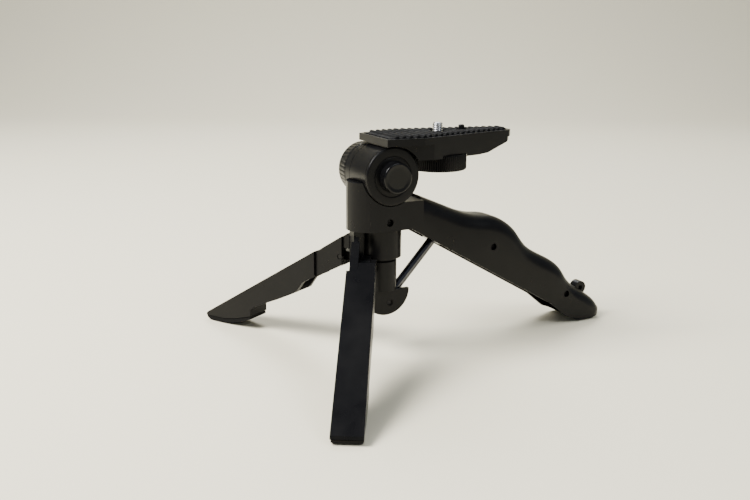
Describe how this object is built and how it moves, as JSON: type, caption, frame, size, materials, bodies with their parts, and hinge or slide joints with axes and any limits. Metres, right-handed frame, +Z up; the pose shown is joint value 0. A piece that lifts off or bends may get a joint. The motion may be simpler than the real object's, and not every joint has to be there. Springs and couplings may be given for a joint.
{
  "type": "folding pistol-grip table tripod",
  "caption": "Compact folding table tripod: tilting ribbed camera platform, finger-grooved grip leg, folding side legs, braced centre column.",
  "frame": {"origin": "centre of the object's box on the surface it stands on", "axes": "+X from the column along the grip leg, +Z up, and the tilt barrel's axis along Y"},
  "size_m": [0.2531, 0.2266, 0.1425],
  "materials": {
    "black_abs": "satin moulded black",
    "gloss_black_abs": "semi-gloss black",
    "black_rubber": "matte",
    "zinc_steel": "bright zinc plate",
    "black_plated_steel": "black plated, polished",
    "brass": "machined",
    "nylon": "natural"
  },
  "bodies": {
    "grip": {"grip_shell_right": "black_abs", "grip_shell_left": "black_abs", "grip_screw_upper": "black_plated_steel", "grip_screw_lower": "black_plated_steel", "column_pivot_screw": "black_plated_steel", "grip_foot_pad": "black_rubber", "strap_lug": "black_abs"},
    "platform": {"camera_platform": "black_abs", "platform_pad": "black_rubber", "pin_spring_plug": "black_abs", "pin_spring": "zinc_steel", "barrel_cover": "black_abs", "cover_cap": "gloss_black_abs", "tilt_bolt": "zinc_steel", "friction_washer": "nylon"},
    "lock_knob": {"tilt_lock_knob": "black_abs", "knob_nut": "brass"},
    "camera_screw": {"camera_screw": "zinc_steel", "thumb_wheel": "black_abs", "screw_retaining_ring": "zinc_steel"},
    "video_pin": {"video_pin": "black_abs"},
    "column": {"column_collar": "black_abs", "lower_column": "black_abs", "clevis_block": "black_abs", "column_stud": "zinc_steel", "leg_carrier": "black_abs", "strut_pin": "black_plated_steel", "leg_pin_left": "black_plated_steel", "leg_pin_right": "black_plated_steel"},
    "strut": {"strut_rod": "black_plated_steel", "strut_guide_pin": "zinc_steel"},
    "leg_left": {"side_leg_left": "black_abs", "leg_foot_left": "black_rubber"},
    "leg_right": {"side_leg_right": "black_abs", "leg_foot_right": "black_rubber"}
  },
  "joints": [
    {"name": "platform_tilt", "type": "hinge", "parent": "grip", "child": "platform", "pos_m": [-0.044, 0, 0.11345], "axis": [0, -1, 0], "range_deg": [-25, 70]},
    {"name": "lock_knob_turn", "type": "hinge", "parent": "grip", "child": "lock_knob", "pos_m": [-0.044, 0, 0.11345], "axis": [0, 1, 0], "range_deg": [0, 360]},
    {"name": "camera_screw_turn", "type": "hinge", "parent": "platform", "child": "camera_screw", "pos_m": [-0.0056, 0, 0.1241], "axis": [0, 0, 1], "continuous": true},
    {"name": "video_pin_press", "type": "slide", "parent": "platform", "child": "video_pin", "axis": [0, 0, -1], "range_m": [0, 0.0025], "stiffness_N_per_m": 150, "springref_m": -0.002, "deforming": ["pin_spring"]},
    {"name": "column_fold", "type": "hinge", "parent": "grip", "child": "column", "pos_m": [-0.0455, 0, 0.0856], "axis": [0, -1, 0], "range_deg": [0, 60]},
    {"name": "strut_swing", "type": "hinge", "parent": "column", "child": "strut", "pos_m": [-0.0406, 0, 0.0326], "axis": [0, 1, 0], "range_deg": [0, 133]},
    {"name": "leg_left_fold", "type": "hinge", "parent": "column", "child": "leg_left", "pos_m": [-0.06256, 0.01209, 0.0619], "axis": [-0.8634, -0.5045, 0], "range_deg": [0, 55]},
    {"name": "leg_right_fold", "type": "hinge", "parent": "column", "child": "leg_right", "pos_m": [-0.06256, -0.01209, 0.0619], "axis": [0.8634, -0.5045, 0], "range_deg": [0, 55]}
  ],
  "couplings": [
    {"joint": "strut_swing", "follows": "column_fold", "ratio": 2.2}
  ]
}
